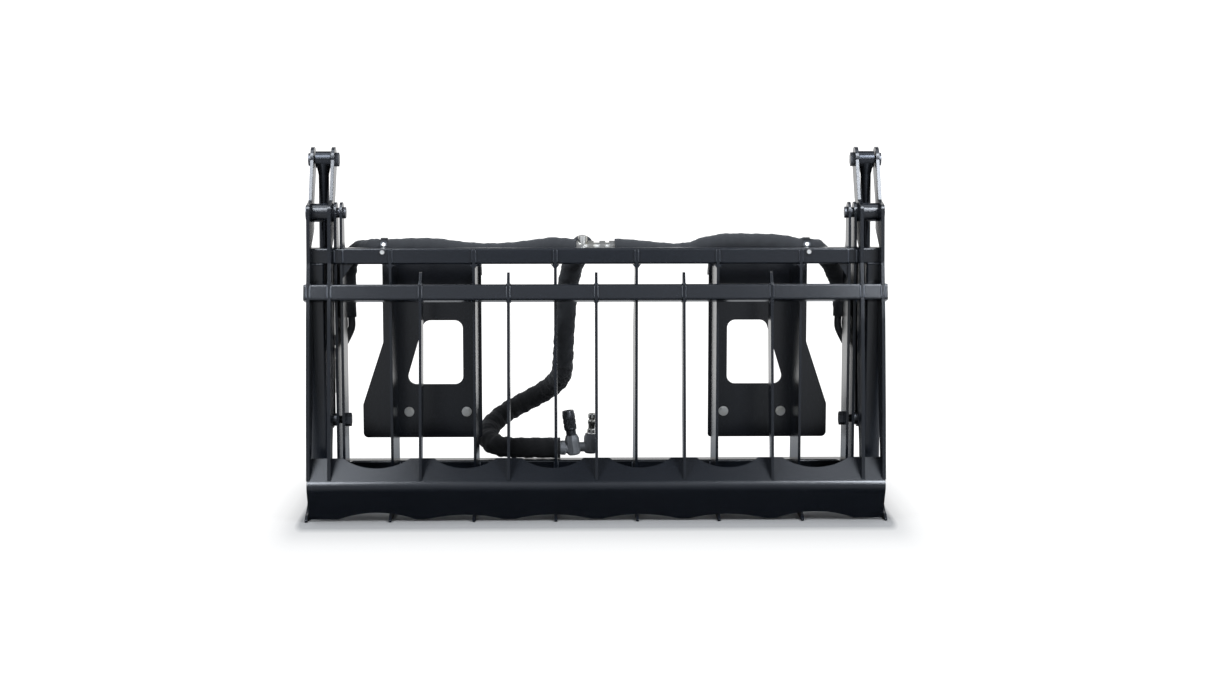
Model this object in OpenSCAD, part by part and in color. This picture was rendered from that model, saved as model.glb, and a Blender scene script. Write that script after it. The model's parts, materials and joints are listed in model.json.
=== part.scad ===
/* [Frame] */
// Outside size of the square tubes
tube = 38; // [34:1:42]
// Wall of the square tubes
tube_wall = 3; // [2:0.5:4]
// Corner radius of the square tubes
tube_r = 5; // [4.5:0.5:7]
// Height of the upper face of the top tube
top_z = 636; // [600:1:680]
// Height of the upper face of the bottom tube
bottom_z = 98; // [90:1:110]
// Depth from the frame's front face to the rear edges of the tines
frame_depth = 172; // [160:1:190]
// Thickness of the paired side plates
side_t = 6.4; // [5:0.1:8]
// Gap between the two side plates of a pair
side_gap = 7.2; // [5:0.1:9]
// Outer face of the outer side plate, from the centre plane
side_x = 616.5; // [600:0.5:620]
// Depth of the side plates
side_depth = 93; // [90:1:110]

/* [Rake tines] */
// Thickness of the rake tines
tine_t = 6.4; // [5:0.1:8]
// Spacing of the four middle tines
pitch_in = 192; // [180:1:196]
// Spacing from those to the outer tines
pitch_out = 196.5; // [194:0.5:200]
// How far the tines stand in front of the frame
tine_proud = 8; // [5:1:10]
// How far the toes reach in front of the frame
toe_reach = 97; // [85:1:100]
// Radius of the curve into the toe
toe_r = 88; // [70:1:92]
// Radius of the heel
heel_r = 58; // [30:1:60]
// Height where the plain tines start to narrow
taper_z = 430; // [380:1:460]
// Depth of a plain tine under the top tube
tine_top_w = 66; // [50:1:90]
// Height of the two short outer tines
short_z = 128; // [120:1:150]

/* [Jaw] */
// Thickness of the jaw arms
arm_t = 8; // [6:0.1:9]
// Clear gap between the two arms of a side
arm_gap = 41; // [40:0.5:44]
// Running gap between the side plates and the inner arm
arm_clear = 2.9; // [2:0.1:4]
// Pivot's place behind the frame's front face
pivot_y = 30; // [26:1:40]
// Height of the pivot
pivot_z = 718; // [700:1:760]
// Rod pin's place behind the pivot
lever_y = 65; // [55:1:75]
// Rod pin's height above the pivot
lever_z = 123; // [105:1:130]
// Radius of the arm around the rod pin
lever_r = 30; // [26:1:32]
// Gap between the closed jaw and the frame
jaw_gap = 3.5; // [2.5:0.5:5]
// Thickness of the jaw tines
jaw_tine_t = 6.4; // [5:0.1:8]
// Spacing of the jaw tines
jaw_pitch = 205.5; // [200:0.5:207]
// Height of the jaw tube's centre
jaw_tube_z = 533; // [500:1:545]
// Centre of the jaw tube in front of the frame
jaw_tube_out = 35; // [34:0.5:37]
// Backward lean of the jaw tube's front face
jaw_tube_lean = 14; // [10:1:18]
// How far the jaw tube stands out of the outer arms
jaw_tube_over = 7; // [4:1:7]

/* [Lip] */
// How far the lip's ends lie inside the arms' outer faces
lip_inset = 1.4; // [0.4:0.2:4]
// Thickness of the lip
lip_t = 6; // [4:0.5:8]
// How far the lip's nose reaches in front of the frame
nose_out = 124; // [118:1:132]
// Outside radius of the lip's bend
lip_round = 22; // [14:0.5:26]
// Height of the lip's nose
nose_z = 85.5; // [80:0.5:94]
// Length of the lip's upper leg
lip_up = 66; // [60:1:70]
// Slope of the upper leg from level
lip_up_slope = 45; // [40:1:50]
// Length of the lip's lower leg
lip_down = 80; // [74:1:84]
// Slope of the lower leg from level
lip_down_slope = 62; // [58:1:68]
// Width of a scallop in the upper edge
scallop_w = 146; // [120:1:160]
// Depth of a scallop in the upper edge
scallop_d = 29; // [20:1:34]
// Depth of a scallop in the lower edge
bite_d = 13; // [9:1:18]
// Depth of the end scallops in the lower edge
bite_end_d = 20; // [12:1:24]
// Width of a tooth between the lower scallops
tooth_w = 27; // [20:1:34]

/* [Coupler plates] */
// Thickness of the coupler plates
plate_t = 8; // [6:0.5:10]
// Inner edge from the centre plane
plate_in_x = 278; // [270:1:282]
// Outer edge of the upper part
plate_up_x = 519; // [510:1:530]
// Outer edge of the lower part
plate_low_x = 570; // [560:1:580]
// Height of the plate's lower edge
plate_low_z = 156; // [145:1:165]
// Height of the plate's upper edge
plate_up_z = 588; // [575:1:596]
// Height of the window's lower edge
window_low_z = 288; // [276:1:300]
// Height of the window's upper edge
window_up_z = 446; // [430:1:460]
// Inner edge of the window from the plate's inner edge
window_in = 46; // [36:1:56]
// Corner radius of the window
window_r = 20; // [12:1:26]
// Reach of the top hook behind the plate
hook_reach = 44; // [36:1:50]
// Reach of the latch shelf behind the frame's front face
shelf_out = 244; // [236:1:252]
// Height of the latch angle's upright leg
angle_h = 90; // [80:1:100]
// Centre of the locking pin's slot from the centre plane
latch_x = 386.5; // [380:0.5:393]
// Length of the locking pin's slot
slot_l = 82; // [70:1:90]
// Width of the locking pin's slot
slot_w = 32; // [28:1:36]
// Spacing of the two bolts of a plate
bolt_pitch = 141; // [120:1:150]
// Height of the bolts
bolt_z = 220; // [215:1:228]
// Radius of the bolt shank
bolt_r = 6; // [5:0.5:7]

/* [Cylinders] */
// Outside radius of the barrel
barrel_r = 22; // [21:0.5:22.5]
// Bore radius of the barrel
bore_r = 19; // [17:0.5:20]
// Radius of the rod
rod_r = 12.5; // [10:0.5:13]
// Base pin's place behind the frame's front face
base_y = 68; // [66:1:72]
// Height of the base pin
base_z = 218; // [205:1:230]
// Length from the base pin to the barrel's end
barrel_len = 400; // [385:1:405]
// Radius of the two end eyes
eye_r = 20; // [17:0.5:21]
// Width of the end eyes
eye_w = 36; // [34:0.5:39]

/* [Pins] */
// Radius of the pivot pin
pivot_r = 12; // [10:0.5:14]
// Radius of the cylinder pins
pin_r = 9.5; // [8:0.5:11]
// Radius of the side plates' rounded top around the pivot
ear_r = 25; // [22:1:28]
// Radius of the pivot boss between the arms
boss_r = 22; // [18:0.5:24]
// Radial running clearance of pins in their holes
fit = 0.05; // [0.02:0.01:0.09]
// Thickness of the pin heads
head_t = 7; // [5:0.5:8]
// Thickness of the lock nuts
nut_t = 9; // [7:0.5:10]

/* [Hoses] */
// Radius of the woven sleeves along the top tube
sleeve_r = 22; // [18:0.5:22]
// Radius of the free hose's sleeve
drop_r = 26; // [20:0.5:26]
// Radius of one hydraulic hose
hose_r = 9; // [7:0.5:9]
// Distance of the hose clamps from the centre plane
clamp_x = 503; // [500:1:512]

/* [Hidden] */
$fn = 64;
// Overrun of every cut
over = 1;
// The frame's front face, which centres the whole part front to back
face_y = (nose_out - shelf_out) / 2;
tube_low_z = top_z - tube;
bottom_low_z = bottom_z - tube;
// Places of the paired plates and arms
side_in_x = side_x - 2 * side_t - side_gap;
arm_in_x = side_x + arm_clear;
arm_out_x = arm_in_x + arm_t + arm_gap;
cyl_x = arm_in_x + arm_t + arm_gap / 2;
lip_half = arm_out_x + arm_t - lip_inset;
tine_x = [pitch_in / 2, 1.5 * pitch_in, 1.5 * pitch_in + pitch_out, 1.5 * pitch_in + 2 * pitch_out];
tube_half = tine_x[3] - tine_t / 2;
post_x = tube_half - tube / 2;
// The jaw's outline, as shares of its height above the nose and of its reach in front of the frame
shoulder_z = pivot_z + 0.16 * lever_z;
arm_reach = nose_out - 0.25 * lip_round;
front_shares = [[1, 0.25], [0.795, 0.35], [0.6, 0.57], [0.275, 0.83], [0.08, 0.955], [0, 1]];
rear_shares = [[0.14, 0.53], [0.275, 0.27]];
hub_w = 1.06 * lever_r;
// Lean of the cylinders at rest
rod_pin_y = pivot_y + lever_y;
rod_pin_z = pivot_z + lever_z;
cyl_len = norm([rod_pin_y - base_y, rod_pin_z - base_z]);
cyl_lean = atan2(rod_pin_y - base_y, rod_pin_z - base_z);
// Parts of the cylinders
gland_t = 8;
gland_in = 30;
piston_t = 24;
base_plug = 12;
// Room left between the piston and the gland with the jaw closed
rest_gap = 20;
rod_low = barrel_len - gland_in - rest_gap - piston_t - over;
rod_neck = 26;
block_low = 62;
block_up = 96;
block_w = 40;
block_out = 60;
stub_t = 22;
stub_gap = 20;
stub_y = 50;
pipe_r = 5;
pipe_y = 32;
elbow = 14;
// Small pieces
head_over = 6;
ring_t = 7;
ring_wall = 1.6;
slip = 0.2;
bolt_head_r = 2 * bolt_r;
cap_t = 3;
// Corner radii of the cut plates
edge_r = 2;
small_r = 6;
mid_r = 12;
big_r = 20;
gusset_w = 22;
gusset_h = 33;
web_w = 10;
web_h = 13;
hook_flat = 8;
clamp_t = 2.5;
clamp_w = 16;
clamp_bolt_r = 4;
clamp_bolt_z = top_z - 0.24 * tube;
tee_r = 11;
tee_half = 46;
tee_x = -31;
tee_z = top_z - 2;
sleeve_y = tube + sleeve_r + 2;
drop_z = bottom_z + drop_r + 0.4;
// The two couplers: reach beyond the free hose's end, length, radius and lean, then the collar's
hose_seat = 1;
female_out = 32;
female_l = 60;
female_r = 12;
female_lean = -8;
female_collar_z = 52;
female_collar_r = 16;
female_collar_l = 44;
male_out = 75;
male_l = 66;
male_r = 8;
male_lean = 3;
male_collar_z = 60;
male_collar_r = 10.5;
male_collar_l = 24;
// Routes of the two sleeves, as the distance from the centre plane and the places behind and above the tee
run_right = [[46.2, 0, -2], [60, 0, -2], [110, 0, -6], [180, 0, -12], [222, 0, -10], [262, 0, 2],
    [310, 0, 10], [370, 0, 10], [430, 0, 8], [468, 0, 2], [488, 0, -2], [516, 0, -2], [534, 10, -9],
    [550, 24, -24], [566, 40, -44], [580, 54, -68], [590, 62, -94], [597, 66, -122], [600, 67, -150],
    [600, 67, -174]];
run_left = [[46.2, 0, -2], [60, 0, -2], [100, 0, 2], [150, 0, -4], [200, 0, -10], [260, 0, -12], [320, 0, -8],
    [380, 0, -1], [440, 0, 0], [488, 0, -2], [518, 0, -2], [542, 14, -4], [562, 36, -8], [579, 54, -18],
    [592, 64, -38], [599, 67, -66], [600, 67, -102], [600, 67, -138], [600, 67, -174]];
// Route of the free hose from the tee to its couplers, in the part's own frame
drop_points = [[tee_x, 32, tee_z], [tee_x, 44, tee_z], [-33, 68, 630], [-39, 94, 618], [-50, 116, 592],
    [-62, 131, 552], [-69, 139, 505], [-73, 142, 455], [-76, 145, 405], [-78, 153, 362], [-80, 171, 330],
    [-82, 196, 308], [-87, 223, 290], [-99, 249, 271], [-120, 270, 251], [-149, 284, 232],
    [-182, 290, 214], [-214, 285, 197], [-242, 266, 180], [-261, 237, 164], [-268, 205, 149],
    [-262, 177, 137], [-245, 156, 129], [-220, 144, 125.6], [-194, 139, 124.6], [-168, 138, drop_z],
    [-140, 138, drop_z], [-112, 138, drop_z], [-86, 138, drop_z]];

function unit(v) = v / norm(v);
// Points of an arc that rounds corner p between the lines to a and b
function corner(a, p, b, r, n = 8) =
    r <= 0 ? [p] :
    let (u = unit(a - p), v = unit(b - p), half = acos(u * v) / 2,
        c = p + unit(u + v) * r / sin(half), s = p + u * r / tan(half), e = p + v * r / tan(half),
        a0 = atan2(s[1] - c[1], s[0] - c[0]), a1 = atan2(e[1] - c[1], e[0] - c[0]),
        turn = (a1 - a0 + 540) % 360 - 180)
    [for (i = [0 : n]) c + r * [cos(a0 + turn * i / n), sin(a0 + turn * i / n)]];
// An outline with rounded corners from points given as [x, y, radius]
function rounded(q) = [for (i = [0 : len(q) - 1])
    let (m = len(q), a = q[(i + m - 1) % m], p = q[i], b = q[(i + 1) % m])
    each corner([a[0], a[1]], [p[0], p[1]], [b[0], b[1]], p[2])];
// Height and place on the jaw's outline from a pair of shares
function jaw_point(s) = [-s[1] * arm_reach, nose_z + s[0] * (shoulder_z - nose_z)];
// A point of a cylinder's own frame, z along its axis from the base pin, in the part's frame
function on_cyl(p) = [cyl_x + p[0],
    face_y + base_y + p[1] * cos(cyl_lean) + p[2] * sin(cyl_lean),
    base_z - p[1] * sin(cyl_lean) + p[2] * cos(cyl_lean)];
function tangents(p) = [for (i = [0 : len(p) - 1])
    unit(p[min(i + 1, len(p) - 1)] - p[max(i - 1, 0)])];
function square_to(u, t) = unit(u - (u * t) * t);
function frames(t, u, i = 0, out = []) =
    i == len(t) ? out : let (v = square_to(u, t[i])) frames(t, v, i + 1, concat(out, [v]));

// A plate drawn in the side view, depth to the right and height up, between two x faces
module side_view(x0, t) {
    translate([x0, face_y, 0]) rotate([90, 0, 90]) linear_extrude(t) children();
}
// The same piece on both sides
module pair() {
    children();
    mirror([1, 0, 0]) children();
}
// A pin along x between two faces, at a place given behind the frame's front face
module along_x(x0, x1, y, z, r) {
    translate([x0, face_y + y, z]) rotate([0, 90, 0]) cylinder(r = r, h = x1 - x0);
}
module square_tube(l) {
    linear_extrude(l) difference() {
        polygon(rounded([for (s = [[-1, -1], [1, -1], [1, 1], [-1, 1]])
            [s[0] * tube / 2, s[1] * tube / 2, tube_r]]));
        polygon(rounded([for (s = [[-1, -1], [1, -1], [1, 1], [-1, 1]])
            [s[0] * (tube / 2 - tube_wall), s[1] * (tube / 2 - tube_wall), tube_r - tube_wall]]));
    }
}
module tube_along_x(half, y, z, lean = 0) {
    translate([-half, face_y + y, z]) rotate([lean, 0, 0]) rotate([90, 0, 90]) square_tube(2 * half);
}
module jaw_tube_cut() {
    translate([-arm_out_x - 2 * arm_t, face_y - jaw_tube_out, jaw_tube_z]) rotate([-jaw_tube_lean, 0, 0])
        translate([0, -tube / 2, -tube / 2]) cube([2 * arm_out_x + 4 * arm_t, tube, tube]);
}
// A round hose along a route, of triangles
module swept(p, r, sides) {
    t = tangents(p);
    u = frames(t, abs(t[0][1]) > 0.9 ? [1, 0, 0] : [0, 1, 0]);
    n = len(p);
    polyhedron(
        [for (i = [0 : n - 1], k = [0 : sides - 1])
            p[i] + r * (cos(360 * k / sides) * u[i] + sin(360 * k / sides) * cross(t[i], u[i]))],
        concat(
            [[for (k = [0 : sides - 1]) k]],
            [[for (k = [0 : sides - 1]) (n - 1) * sides + sides - 1 - k]],
            [for (i = [0 : n - 2], k = [0 : sides - 1])
                [i * sides + k, (i + 1) * sides + k, i * sides + (k + 1) % sides]],
            [for (i = [0 : n - 2], k = [0 : sides - 1])
                [i * sides + (k + 1) % sides, (i + 1) * sides + k, (i + 1) * sides + (k + 1) % sides]]));
}

// Rear frame
module top_tube() {
    color("#1c1f26") difference() {
        tube_along_x(tube_half, tube / 2, top_z - tube / 2);
        pair() translate([clamp_x, face_y - over, clamp_bolt_z]) rotate([-90, 0, 0])
            cylinder(r = clamp_bolt_r + fit, h = tube + 2 * over);
    }
}
module bottom_tube() {
    color("#1c1f26") tube_along_x(tube_half, frame_depth + tube / 2, bottom_z - tube / 2);
}
module posts() {
    color("#1c1f26") pair() translate([post_x, face_y + tube / 2, bottom_low_z / 2])
        square_tube(tube_low_z - bottom_low_z / 2);
}
// Caps in the ends of the top and bottom tubes and under the posts
module tube_caps() {
    color("#15171c") {
        pair() tube_cap_inside(tube_half, tube / 2, top_z - tube / 2);
        pair() tube_cap_inside(tube_half, frame_depth + tube / 2, bottom_z - tube / 2);
        pair() translate([post_x, face_y + tube / 2, bottom_low_z / 2 - cap_t])
            linear_extrude(cap_t) square(tube - tube_r, center = true);
    }
}
module tube_cap_inside(x, y, z) {
    hole = tube - 2 * tube_wall;
    translate([x - cap_t, face_y + y, z]) rotate([90, 0, 90]) linear_extrude(cap_t)
        polygon(rounded([for (s = [[-1, -1], [1, -1], [1, 1], [-1, 1]])
            [s[0] * hole / 2, s[1] * hole / 2, tube_r - tube_wall]]));
}
// A side plate: the ear round the pivot, a notch for the top tube and a foot on the bottom tube
module side_plate(x0) {
    lean = pivot_y - ear_r;
    color("#14161b") difference() {
        side_view(x0, side_t) {
            polygon(rounded([[0, bottom_low_z / 3, mid_r], [0, top_z, mid_r], [lean, pivot_z, 0],
                [pivot_y + ear_r, pivot_z, 0], [pivot_y + ear_r, top_z + ear_r / 2, mid_r],
                [side_depth, tube_low_z - ear_r / 2, mid_r],
                [side_depth, bottom_z + side_depth / 8, mid_r], [frame_depth, bottom_z, 0],
                [frame_depth, bottom_low_z, 0], [side_depth, bottom_low_z / 3, big_r]]));
            translate([pivot_y, pivot_z]) circle(r = ear_r);
        }
        translate([x0 - over, face_y - over, tube_low_z]) cube([side_t + 2 * over, tube + over, tube]);
        along_x(x0 - over, x0 + side_t + over, pivot_y, pivot_z, pivot_r + fit);
        along_x(x0 - over, x0 + side_t + over, base_y, base_z, pin_r + fit);
    }
}
// The three-cornered gusset between the inner side plate and the underside of the top tube
module gusset() {
    color("#14161b") translate([side_in_x, face_y + tine_proud + side_t, tube_low_z]) rotate([90, 0, 0])
        linear_extrude(side_t) polygon([[-gusset_w, 0], [0, 0], [0, -gusset_h]]);
}
module side_plate_inner() {
    union() {
        side_plate(side_in_x);
        gusset();
    }
}
module rake_tine(i) {
    k = i < 4 ? 3 - i : i - 4;
    s = i < 4 ? -1 : 1;
    short = k == 3;
    held = k == 1 || k == 2;
    up_z = plate_up_z - web_w;
    under = held ? web_w : 3 * web_w;
    color("#1a1d23") translate([s * tine_x[k], 0, 0]) {
        if (short)
            side_view(-tine_t / 2, tine_t) polygon(rounded(concat(
                [[-tine_proud, short_z, mid_r]], foot_points(),
                [[frame_depth + tube, bottom_low_z, small_r], [frame_depth + tube, short_z, mid_r]])));
        else {
            side_view(-tine_t / 2, tine_t) polygon(rounded(concat(
                [[0, tube_low_z, 0], [0, top_z - edge_r, edge_r], [-tine_proud, top_z - edge_r, edge_r]],
                foot_points(), [[frame_depth, bottom_low_z, 0], [frame_depth, held ? up_z : taper_z, 0],
                [tine_top_w, tube_low_z - under, mid_r], [tine_top_w, tube_low_z, 2 * edge_r]])));
            tine_web();
        }
    }
}
// The front edge, the toe and the heel of a rake tine
function foot_points() = let (n = 10, cx = -tine_proud - toe_r, cz = toe_r + 2 * tine_t) concat(
    [for (i = [0 : n]) [cx + toe_r * cos(80 * i / n), cz - toe_r * sin(80 * i / n), 0]],
    [[-toe_reach, 0.8 * tine_t, 0], [-toe_reach, 0, 0], [frame_depth - heel_r, 0, 0.7 * heel_r]]);
// The small three-cornered web under the top tube
module tine_web() {
    translate([0, face_y, tube_low_z]) rotate([90, 0, 0]) linear_extrude(tine_proud)
        polygon([[-web_w, 0], [web_w, 0], [0, -web_h]]);
}
// Coupler plates, the rear pieces that the loader takes hold of
module coupler_plate() {
    up = window_up_z - window_low_z;
    knee_z = plate_low_z + 0.19 * (plate_up_z - plate_low_z);
    hip_z = plate_low_z + 0.546 * (plate_up_z - plate_low_z);
    win_out = plate_up_x - 0.42 * (plate_up_x - plate_in_x);
    win_low = win_out + 0.3 * up;
    color("#15171c") {
        difference() {
            translate([0, face_y + frame_depth + plate_t, 0]) rotate([90, 0, 0]) linear_extrude(plate_t)
                difference() {
                    polygon(rounded([[plate_in_x, plate_low_z, small_r], [plate_low_x, plate_low_z, mid_r],
                        [plate_low_x, knee_z, mid_r], [plate_up_x, hip_z, mid_r], [plate_up_x, plate_up_z, 0],
                        [plate_in_x, plate_up_z, 0]]));
                    polygon(rounded([[plate_in_x + window_in, window_low_z, window_r],
                        [win_low, window_low_z, window_r], [win_out, window_up_z, window_r],
                        [plate_in_x + window_in, window_up_z, window_r]]));
                }
            latch_holes(bolt_r + 4 * fit);
        }
        hook();
    }
}
// The top hook, bent back and down at 45 degrees over the loader's plate
module hook() {
    y = frame_depth;
    end_y = y + plate_t + hook_reach;
    end_z = plate_up_z - hook_reach + hook_flat;
    translate([plate_in_x, face_y, 0]) rotate([90, 0, 90]) linear_extrude(plate_up_x - plate_in_x)
        polygon([[y, plate_up_z], [y + plate_t + hook_flat, plate_up_z], [end_y, end_z],
            [end_y, end_z + 1.4 * plate_t], [y + plate_t + hook_flat, plate_up_z + 1.1 * plate_t],
            [y, plate_up_z + 1.1 * plate_t]]);
}
module latch_holes(r) {
    for (s = [-1, 1]) translate([latch_x + s * bolt_pitch / 2, face_y + frame_depth - over, bolt_z])
        rotate([-90, 0, 0]) cylinder(r = r, h = 2 * plate_t + 2 * over);
}
// The bolted angle whose shelf takes the loader's locking pin
module latch_angle() {
    inset = 1.25 * plate_t;
    w = plate_low_x - plate_in_x - 2 * inset;
    y = frame_depth + plate_t;
    mid_y = (y + plate_t + shelf_out) / 2;
    straight = slot_l - slot_w;
    color("#15171c") difference() {
        translate([plate_in_x + inset, face_y, 0]) rotate([90, 0, 90]) linear_extrude(w)
            polygon(rounded([[y, plate_low_z, plate_t], [shelf_out, plate_low_z, edge_r],
                [shelf_out, plate_low_z + plate_t, edge_r], [y + plate_t, plate_low_z + plate_t, 2 * edge_r],
                [y + plate_t, plate_low_z + angle_h, edge_r], [y, plate_low_z + angle_h, 0]]));
        latch_holes(bolt_r + 4 * fit);
        translate([latch_x, face_y + mid_y, plate_low_z - over]) {
            translate([-straight / 2, -slot_w / 2, 0]) cube([straight, slot_w, plate_t + 2 * over]);
            for (s = [-1, 1]) translate([s * straight / 2, 0, 0])
                cylinder(r = slot_w / 2, h = plate_t + 2 * over);
        }
    }
}
// Flanged bolts and nuts that hold the latch angles
module latch_bolts() {
    y = frame_depth;
    color("#c9c7c0") pair() for (s = [-1, 1]) translate([latch_x + s * bolt_pitch / 2, face_y, bolt_z]) {
        rotate([90, 0, 0]) union() {
            translate([0, 0, -y]) cylinder(r = bolt_head_r, h = bolt_r / 3);
            translate([0, 0, -y]) cylinder(r = 1.55 * bolt_r, h = 1.4 * bolt_r, $fn = 6);
            translate([0, 0, -y - 2 * plate_t]) {
                translate([0, 0, -2.6 * bolt_r]) cylinder(r = bolt_r, h = 2 * plate_t + 2.6 * bolt_r);
                translate([0, 0, -1.8 * bolt_r]) cylinder(r = 1.7 * bolt_r, h = 1.8 * bolt_r, $fn = 6);
            }
        }
    }
}

// Jaw
// The arm's outline: lever up to the rod pin, hub round the pivot, neck in front of the tube, leg to the nose
function leg_front(n0) = [for (i = [n0 : len(front_shares) - 1]) jaw_point(front_shares[i])];
bend = [-nose_out + lip_round, nose_z];
up_dir = [cos(lip_up_slope), sin(lip_up_slope)];
down_dir = [cos(lip_down_slope), -sin(lip_down_slope)];
up_out = [-up_dir[1], up_dir[0]];
down_out = [down_dir[1], -down_dir[0]];
// Where the arms and jaw tines end behind, just under the lip's upper face
heel = bend + lip_round * up_out + 0.92 * lip_up * up_dir - lip_t * up_out;
module arm_outline() {
    front = leg_front(0);
    hub = [pivot_y + hub_w, pivot_z];
    polygon(rounded(concat(
        [[rod_pin_y - lever_r, rod_pin_z, 0], [pivot_y - 0.3 * lever_r, shoulder_z + 0.3 * lever_r, small_r]],
        [for (i = [0 : len(front) - 1]) [front[i][0], front[i][1], i == 0 ? mid_r : 0]],
        [[heel[0], heel[1], 0]],
        [for (s = rear_shares) concat(jaw_point(s), 0)],
        [[-jaw_gap, jaw_tube_z - 2.6 * tube, big_r], [-jaw_gap, top_z + jaw_gap, small_r],
        [hub[0], pivot_z - 0.95 * hub_w - hub_w / 3, mid_r], [hub[0], pivot_z + hub_w / 4, big_r],
        [rod_pin_y + 0.92 * lever_r, rod_pin_z - 0.4 * lever_r, 0], [rod_pin_y, rod_pin_z, 0]])));
    translate([rod_pin_y, rod_pin_z]) circle(r = lever_r);
}
module jaw_arm(x0) {
    color("#1d2027") difference() {
        side_view(x0, arm_t) arm_outline();
        along_x(x0 - over, x0 + arm_t + over, pivot_y, pivot_z, pivot_r + fit);
        along_x(x0 - over, x0 + arm_t + over, rod_pin_y, rod_pin_z, pin_r + fit);
        jaw_tube_cut();
        lip_room();
    }
}
// A place on a leg of the lip: x along the lip, y along the leg from the bend, z outwards from its centre
module on_leg(slope) {
    translate([0, face_y + bend[0], bend[1]]) rotate([slope, 0, 0]) children();
}
// The space of the lip's upper leg, which the arms and jaw tines stand on
module lip_room() {
    half = lip_half + 2 * arm_t;
    on_leg(lip_up_slope) translate([-half, -lip_round, -4 * lip_t])
        cube([2 * half, lip_up + lip_round + lip_t, 4 * lip_t + lip_round]);
}
module pivot_bosses() {
    color("#23262d") pair() difference() {
        along_x(arm_in_x + arm_t, arm_out_x, pivot_y, pivot_z, boss_r);
        along_x(arm_in_x + arm_t - over, arm_out_x + over, pivot_y, pivot_z, pivot_r + fit);
    }
}
module jaw_tube() {
    half = arm_out_x + arm_t + jaw_tube_over;
    color("#20232b") tube_along_x(half, -jaw_tube_out, jaw_tube_z, -jaw_tube_lean);
}
module jaw_tube_caps() {
    x = arm_out_x + arm_t + jaw_tube_over;
    hole = tube - 2 * tube_wall;
    color("#15171c") pair() translate([x - cap_t, face_y - jaw_tube_out, jaw_tube_z])
        rotate([-jaw_tube_lean, 0, 0]) rotate([90, 0, 90]) linear_extrude(cap_t)
        polygon(rounded([for (s = [[-1, -1], [1, -1], [1, 1], [-1, 1]])
            [s[0] * hole / 2, s[1] * hole / 2, tube_r - tube_wall]]));
}
module jaw_tine(i) {
    front = leg_front(2);
    horn_z = jaw_tube_z + 1.28 * tube;
    color("#20232b") difference() {
        translate([(i - 2) * jaw_pitch, 0, 0]) side_view(-jaw_tine_t / 2, jaw_tine_t) polygon(rounded(concat(
            [[-jaw_tube_out - 0.1 * tube, horn_z, edge_r],
            [-jaw_tube_out - 0.62 * tube, jaw_tube_z + 0.62 * tube, mid_r]],
            [for (p = front) [p[0], p[1], 0]],
            [[heel[0], heel[1], 0]],
            [for (s = rear_shares) concat(jaw_point(s), 0)],
            [[-jaw_gap, jaw_tube_z - 2.6 * tube, big_r],
            [-jaw_gap - 0.1 * tube, jaw_tube_z + 0.5 * tube, mid_r],
            [-jaw_tube_out + 0.16 * tube, horn_z, edge_r]])));
        jaw_tube_cut();
        lip_room();
    }
}
// The lip's section, a bent plate, from the lower edge round the nose to the upper edge and back inside
module lip_section() {
    a0 = 270 - lip_down_slope;
    a1 = 90 + lip_up_slope;
    n = 10;
    inner = lip_round - lip_t;
    polygon(concat([bend + lip_round * down_out + lip_down * down_dir],
        [for (i = [0 : n]) let (a = a0 + (a1 - a0) * i / n) bend + lip_round * [cos(a), sin(a)]],
        [bend + lip_round * up_out + lip_up * up_dir, bend + inner * up_out + lip_up * up_dir],
        [for (i = [0 : n]) let (a = a1 + (a0 - a1) * i / n) bend + inner * [cos(a), sin(a)]],
        [bend + inner * down_out + lip_down * down_dir]));
}
// Round cuts in a leg's free edge, each given as its middle, width and depth
module scallops(l, cuts) {
    for (c = cuts) {
        r = (c[1] * c[1] / 4 + c[2] * c[2]) / (2 * c[2]);
        translate([c[0], l - c[2] + r, -lip_round - over])
            cylinder(r = r, h = 2 * lip_round + 2 * over, $fn = 96);
    }
}
module jaw_lip() {
    bay = (arm_in_x - 2 * jaw_pitch) / 2;
    mids = [-2 * jaw_pitch - bay, -1.5 * jaw_pitch, -jaw_pitch / 2, jaw_pitch / 2, 1.5 * jaw_pitch,
        2 * jaw_pitch + bay];
    ups = [for (m = mids) [m, abs(m) > 2 * jaw_pitch ? 1.08 * scallop_w : scallop_w, scallop_d]];
    downs = [for (m = mids) let (edge = abs(m) > 2 * jaw_pitch)
        [m, edge ? 2 * bay - tooth_w : jaw_pitch - tooth_w, edge ? bite_end_d : bite_d]];
    color("#262a33") difference() {
        side_view(-lip_half, 2 * lip_half) lip_section();
        on_leg(lip_up_slope) scallops(lip_up, ups);
        on_leg(-lip_down_slope) scallops(lip_down, downs);
    }
}

// Pins
module pivot_pins() {
    x1 = arm_out_x + arm_t + slip;
    color("#2a2d34") pair() union() {
        along_x(side_in_x - ring_t - slip, x1, pivot_y, pivot_z, pivot_r);
        along_x(x1, x1 + head_t, pivot_y, pivot_z, pivot_r + head_over);
    }
}
module base_pins() {
    x1 = cyl_x + eye_w / 2 + slip;
    color("#2a2d34") pair() union() {
        along_x(side_in_x - nut_t - slip, x1, base_y, base_z, pin_r);
        along_x(x1, x1 + head_t, base_y, base_z, pin_r + head_over);
    }
}
module nut(x0, y, z, r) {
    translate([x0, face_y + y, z]) rotate([0, 90, 0]) difference() {
        cylinder(r = 1.75 * r, h = nut_t, $fn = 6);
        translate([0, 0, -over]) cylinder(r = r, h = nut_t + 2 * over);
    }
}
// The pivot pin's slim round lock ring and the base pin's nut
module lock_nuts() {
    color("#3a3d44") pair() {
        difference() {
            along_x(side_in_x - ring_t, side_in_x, pivot_y, pivot_z, pivot_r + ring_wall);
            along_x(side_in_x - ring_t - over, side_in_x + over, pivot_y, pivot_z, pivot_r);
        }
        nut(side_in_x - nut_t, base_y, base_z, pin_r);
    }
}
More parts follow.
